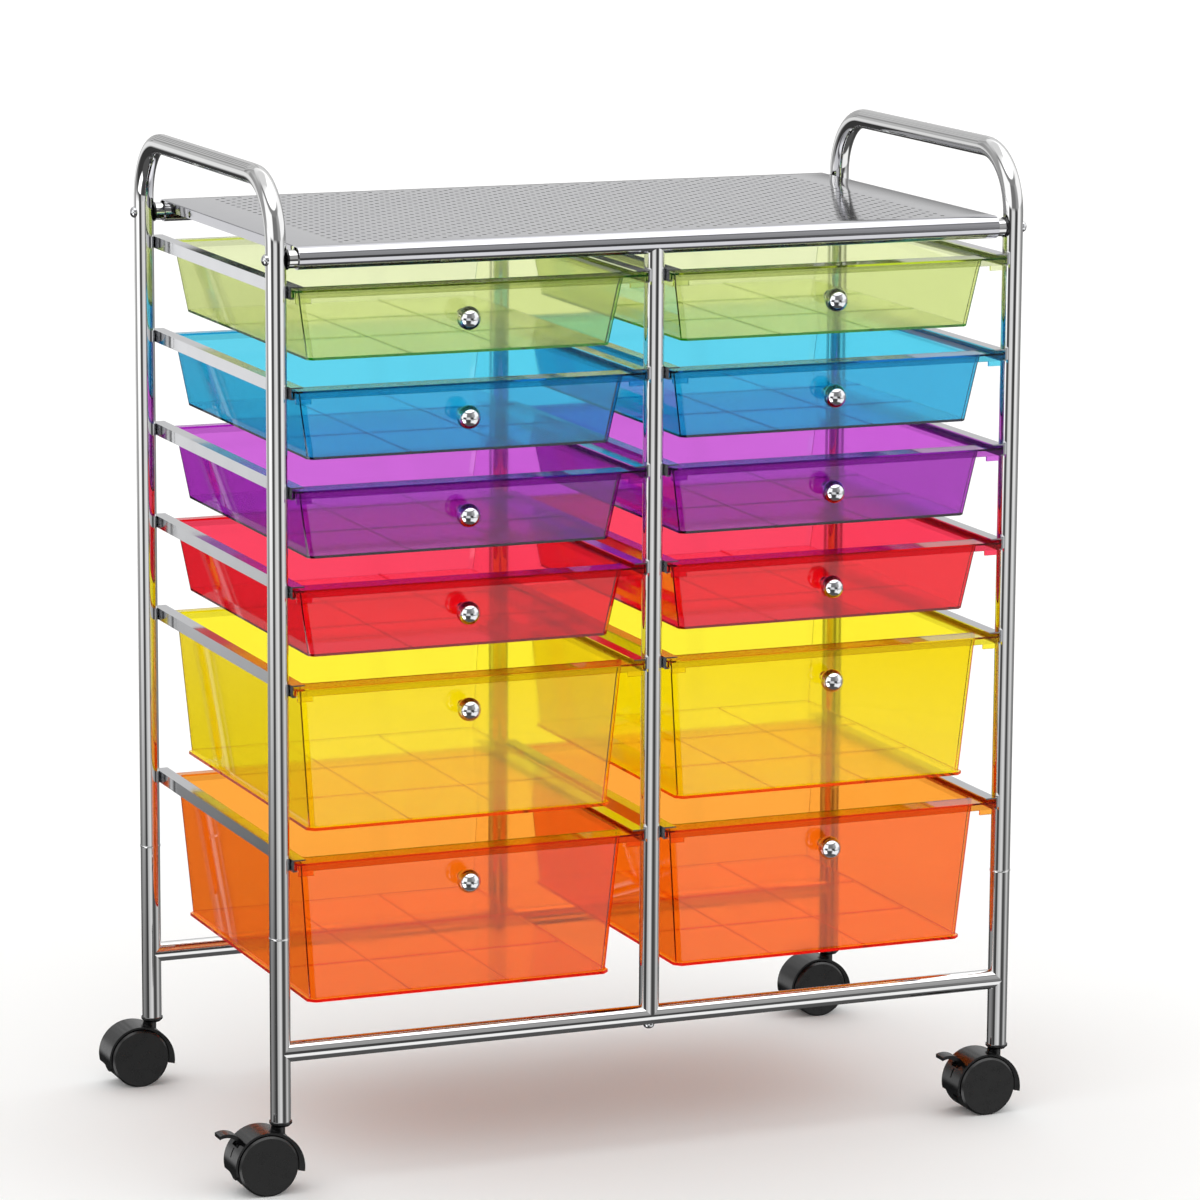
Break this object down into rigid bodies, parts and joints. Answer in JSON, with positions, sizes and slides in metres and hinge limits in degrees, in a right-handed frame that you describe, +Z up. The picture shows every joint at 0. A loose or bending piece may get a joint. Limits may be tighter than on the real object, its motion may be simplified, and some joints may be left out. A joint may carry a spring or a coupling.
{
  "type": "rolling drawer cart",
  "caption": "Rolling storage cart: a chrome tube frame with a perforated top tray, tinted plastic drawers on channel runners, side handles and braked swivel casters.",
  "frame": {"origin": "on the floor, in the middle of the footprint", "axes": "+Z up, the drawers' fronts face -Y, +X to the right as seen from the front"},
  "size_m": [0.6822, 0.361, 0.791],
  "materials": {
    "chrome_tube": "polished chrome plate",
    "chrome_runner": "polished chrome plate",
    "chrome_screw": "polished chrome plate",
    "chrome_knob": "polished chrome plate",
    "tray_steel": "mirror-like chromed sheet with punched slots",
    "black_plastic": "black moulded plastic",
    "wheel_plastic": "black moulded plastic",
    "drawer_green": "clear tinted lime green",
    "drawer_blue": "clear tinted blue",
    "drawer_purple": "clear tinted purple",
    "drawer_red": "clear tinted red",
    "drawer_yellow": "clear tinted amber yellow",
    "drawer_orange": "clear tinted orange"
  },
  "bodies": {
    "frame": {"bottom_rail_back": "chrome_tube", "bottom_rail_front": "chrome_tube", "caster_sockets": "black_plastic", "frame_screws": "chrome_screw", "lower_leg_back_left": "chrome_tube", "lower_leg_back_right": "chrome_tube", "lower_leg_front_left": "chrome_tube", "lower_leg_front_right": "chrome_tube", "middle_post_back": "chrome_tube", "middle_post_front": "chrome_tube", "runners_left": "chrome_runner", "runners_middle_left": "chrome_runner", "runners_middle_right": "chrome_runner", "runners_right": "chrome_runner", "side_frame_left": "chrome_tube", "side_frame_right": "chrome_tube", "top_tray": "tray_steel", "tray_saddles": "black_plastic", "tray_tubes": "chrome_tube"},
    "brake_lever_left": {"brake_lever_left": "black_plastic"},
    "brake_lever_right": {"brake_lever_right": "black_plastic"},
    "caster_back_left": {"caster_housing_back_left": "black_plastic"},
    "caster_back_right": {"caster_housing_back_right": "black_plastic"},
    "caster_front_left": {"caster_housing_front_left": "black_plastic"},
    "caster_front_right": {"caster_housing_front_right": "black_plastic"},
    "drawer_left_1": {"drawer_left_1": "drawer_green", "knob_left_1": "chrome_knob"},
    "drawer_left_2": {"drawer_left_2": "drawer_blue", "knob_left_2": "chrome_knob"},
    "drawer_left_3": {"drawer_left_3": "drawer_purple", "knob_left_3": "chrome_knob"},
    "drawer_left_4": {"drawer_left_4": "drawer_red", "knob_left_4": "chrome_knob"},
    "drawer_left_5": {"drawer_left_5": "drawer_yellow", "knob_left_5": "chrome_knob"},
    "drawer_left_6": {"drawer_left_6": "drawer_orange", "knob_left_6": "chrome_knob"},
    "drawer_right_1": {"drawer_right_1": "drawer_green", "knob_right_1": "chrome_knob"},
    "drawer_right_2": {"drawer_right_2": "drawer_blue", "knob_right_2": "chrome_knob"},
    "drawer_right_3": {"drawer_right_3": "drawer_purple", "knob_right_3": "chrome_knob"},
    "drawer_right_4": {"drawer_right_4": "drawer_red", "knob_right_4": "chrome_knob"},
    "drawer_right_5": {"drawer_right_5": "drawer_yellow", "knob_right_5": "chrome_knob"},
    "drawer_right_6": {"drawer_right_6": "drawer_orange", "knob_right_6": "chrome_knob"},
    "wheel_back_left_inner": {"wheel_back_left_inner": "wheel_plastic"},
    "wheel_back_left_outer": {"wheel_back_left_outer": "wheel_plastic"},
    "wheel_back_right_inner": {"wheel_back_right_inner": "wheel_plastic"},
    "wheel_back_right_outer": {"wheel_back_right_outer": "wheel_plastic"},
    "wheel_front_left_inner": {"wheel_front_left_inner": "wheel_plastic"},
    "wheel_front_left_outer": {"wheel_front_left_outer": "wheel_plastic"},
    "wheel_front_right_inner": {"wheel_front_right_inner": "wheel_plastic"},
    "wheel_front_right_outer": {"wheel_front_right_outer": "wheel_plastic"}
  },
  "joints": [
    {"name": "drawer_left_1_slide", "type": "slide", "parent": "frame", "child": "drawer_left_1", "axis": [0, -1, 0], "range_m": [0, 0.24]},
    {"name": "drawer_left_2_slide", "type": "slide", "parent": "frame", "child": "drawer_left_2", "axis": [0, -1, 0], "range_m": [0, 0.24]},
    {"name": "drawer_left_3_slide", "type": "slide", "parent": "frame", "child": "drawer_left_3", "axis": [0, -1, 0], "range_m": [0, 0.24]},
    {"name": "drawer_left_4_slide", "type": "slide", "parent": "frame", "child": "drawer_left_4", "axis": [0, -1, 0], "range_m": [0, 0.24]},
    {"name": "drawer_left_5_slide", "type": "slide", "parent": "frame", "child": "drawer_left_5", "axis": [0, -1, 0], "range_m": [0, 0.24]},
    {"name": "drawer_left_6_slide", "type": "slide", "parent": "frame", "child": "drawer_left_6", "axis": [0, -1, 0], "range_m": [0, 0.24]},
    {"name": "drawer_right_1_slide", "type": "slide", "parent": "frame", "child": "drawer_right_1", "axis": [0, -1, 0], "range_m": [0, 0.24]},
    {"name": "drawer_right_2_slide", "type": "slide", "parent": "frame", "child": "drawer_right_2", "axis": [0, -1, 0], "range_m": [0, 0.24]},
    {"name": "drawer_right_3_slide", "type": "slide", "parent": "frame", "child": "drawer_right_3", "axis": [0, -1, 0], "range_m": [0, 0.24]},
    {"name": "drawer_right_4_slide", "type": "slide", "parent": "frame", "child": "drawer_right_4", "axis": [0, -1, 0], "range_m": [0, 0.24]},
    {"name": "drawer_right_5_slide", "type": "slide", "parent": "frame", "child": "drawer_right_5", "axis": [0, -1, 0], "range_m": [0, 0.24]},
    {"name": "drawer_right_6_slide", "type": "slide", "parent": "frame", "child": "drawer_right_6", "axis": [0, -1, 0], "range_m": [0, 0.24]},
    {"name": "caster_front_left_swivel", "type": "hinge", "parent": "frame", "child": "caster_front_left", "pos_m": [-0.28968, -0.1635, 0.055], "axis": [0, 0, 1], "continuous": true},
    {"name": "wheel_front_left_outer_spin", "type": "hinge", "parent": "caster_front_left", "child": "wheel_front_left_outer", "pos_m": [-0.30467, -0.1635, 0.024], "axis": [0, 1, 0], "continuous": true},
    {"name": "wheel_front_left_inner_spin", "type": "hinge", "parent": "caster_front_left", "child": "wheel_front_left_inner", "pos_m": [-0.30467, -0.1635, 0.024], "axis": [0, 1, 0], "continuous": true},
    {"name": "brake_lever_left_press", "type": "hinge", "parent": "caster_front_left", "child": "brake_lever_left", "pos_m": [-0.32, -0.1635, 0.03686], "axis": [0, -1, 0], "range_deg": [0, 15]},
    {"name": "caster_back_left_swivel", "type": "hinge", "parent": "frame", "child": "caster_back_left", "pos_m": [-0.28968, 0.1635, 0.055], "axis": [0, 0, 1], "continuous": true},
    {"name": "wheel_back_left_outer_spin", "type": "hinge", "parent": "caster_back_left", "child": "wheel_back_left_outer", "pos_m": [-0.30467, 0.1635, 0.024], "axis": [0, 1, 0], "continuous": true},
    {"name": "wheel_back_left_inner_spin", "type": "hinge", "parent": "caster_back_left", "child": "wheel_back_left_inner", "pos_m": [-0.30467, 0.1635, 0.024], "axis": [0, 1, 0], "continuous": true},
    {"name": "caster_front_right_swivel", "type": "hinge", "parent": "frame", "child": "caster_front_right", "pos_m": [0.32632, -0.1635, 0.055], "axis": [0, 0, 1], "continuous": true},
    {"name": "wheel_front_right_outer_spin", "type": "hinge", "parent": "caster_front_right", "child": "wheel_front_right_outer", "pos_m": [0.31133, -0.1635, 0.024], "axis": [0, 1, 0], "continuous": true},
    {"name": "wheel_front_right_inner_spin", "type": "hinge", "parent": "caster_front_right", "child": "wheel_front_right_inner", "pos_m": [0.31133, -0.1635, 0.024], "axis": [0, 1, 0], "continuous": true},
    {"name": "brake_lever_right_press", "type": "hinge", "parent": "caster_front_right", "child": "brake_lever_right", "pos_m": [0.296, -0.1635, 0.03686], "axis": [0, -1, 0], "range_deg": [0, 15]},
    {"name": "caster_back_right_swivel", "type": "hinge", "parent": "frame", "child": "caster_back_right", "pos_m": [0.32632, 0.1635, 0.055], "axis": [0, 0, 1], "continuous": true},
    {"name": "wheel_back_right_outer_spin", "type": "hinge", "parent": "caster_back_right", "child": "wheel_back_right_outer", "pos_m": [0.31133, 0.1635, 0.024], "axis": [0, 1, 0], "continuous": true},
    {"name": "wheel_back_right_inner_spin", "type": "hinge", "parent": "caster_back_right", "child": "wheel_back_right_inner", "pos_m": [0.31133, 0.1635, 0.024], "axis": [0, 1, 0], "continuous": true}
  ]
}
